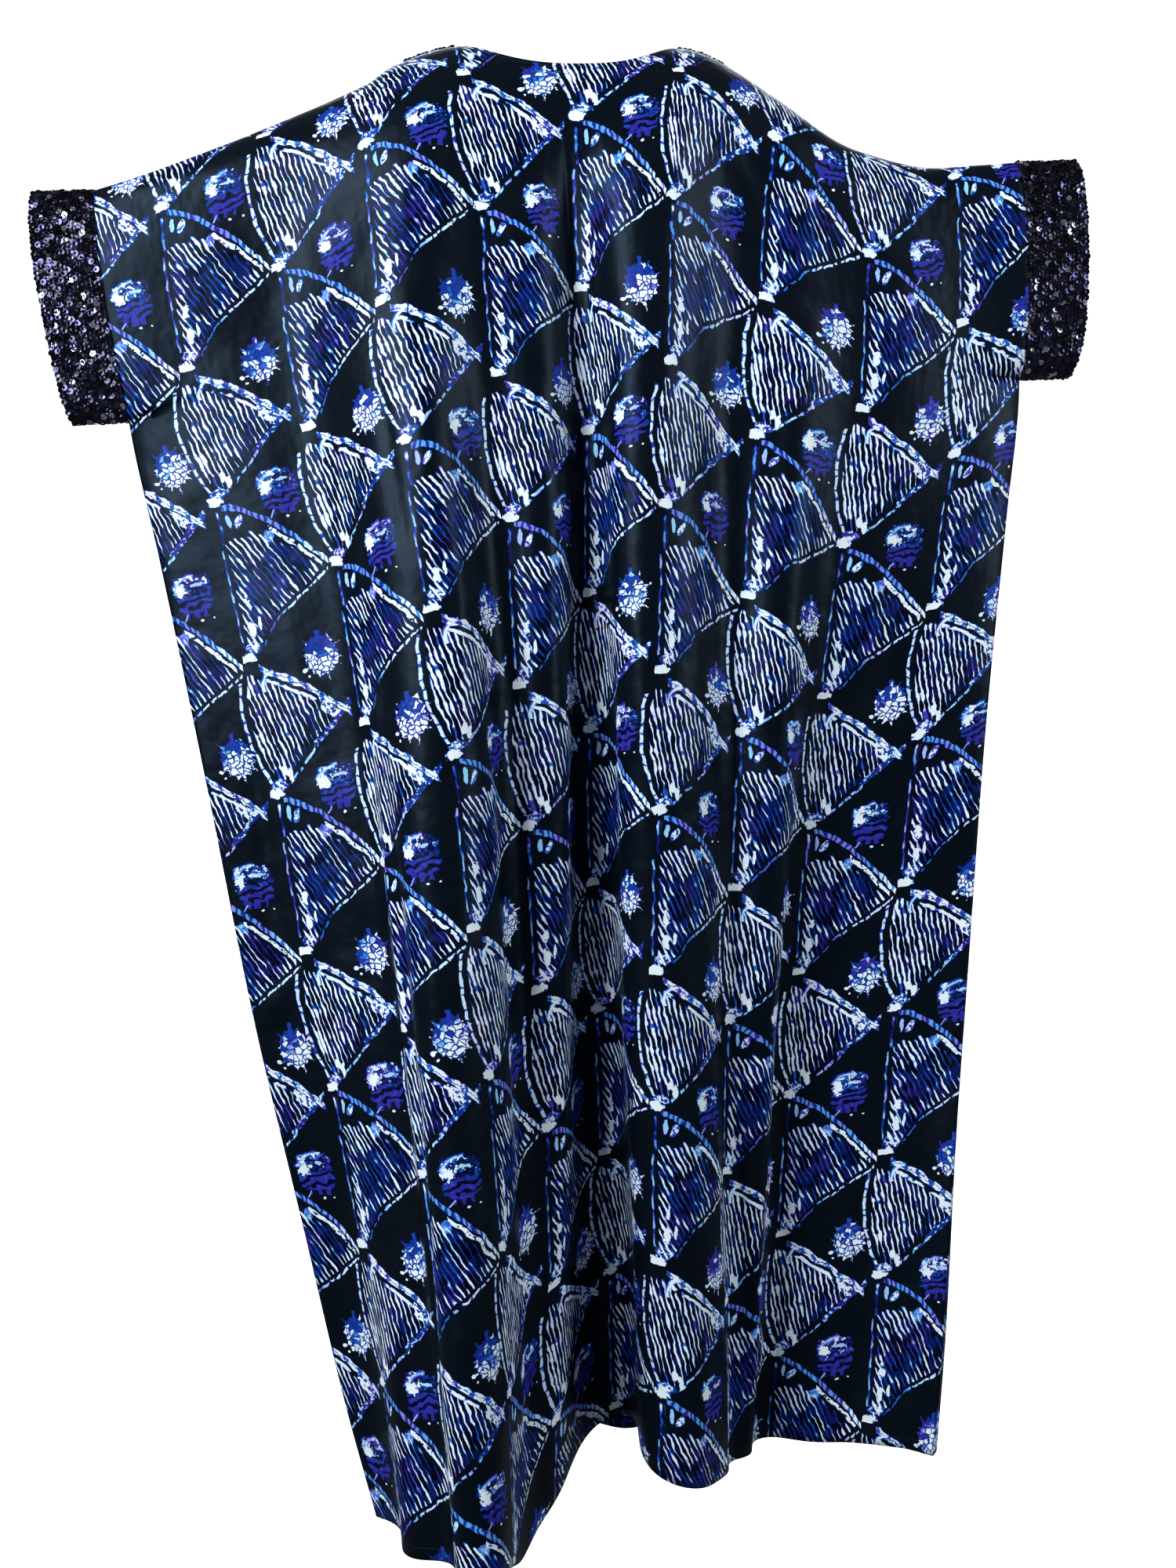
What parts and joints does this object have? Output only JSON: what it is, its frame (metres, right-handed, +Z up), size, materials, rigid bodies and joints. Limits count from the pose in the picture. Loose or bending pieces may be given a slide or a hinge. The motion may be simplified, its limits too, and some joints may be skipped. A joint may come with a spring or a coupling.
{
  "type": "kaftan dress",
  "caption": "Loose full-length kaftan dress in printed satin with wide sleeves, plain neck and sequinned cuffs, hollow as worn with the arms held out.",
  "frame": {"origin": "midway between the two neck points, on the shoulder line where the wearer's shoulders hold the dress", "axes": "+Z up, the back panel faces -Y, the front panel faces +Y, +X is the right hand of someone who looks at the back panel"},
  "size_m": [1.0163, 0.3627, 1.4296],
  "materials": {
    "printed_satin": "satin, dark ground with a blue and white resist-dyed print",
    "sequin_cloth": "dense black sequins"
  },
  "bodies": {
    "root": {"back_panel": "printed_satin", "front_panel": "printed_satin", "cuff_left": "sequin_cloth", "cuff_right": "sequin_cloth"}
  },
  "joints": []
}
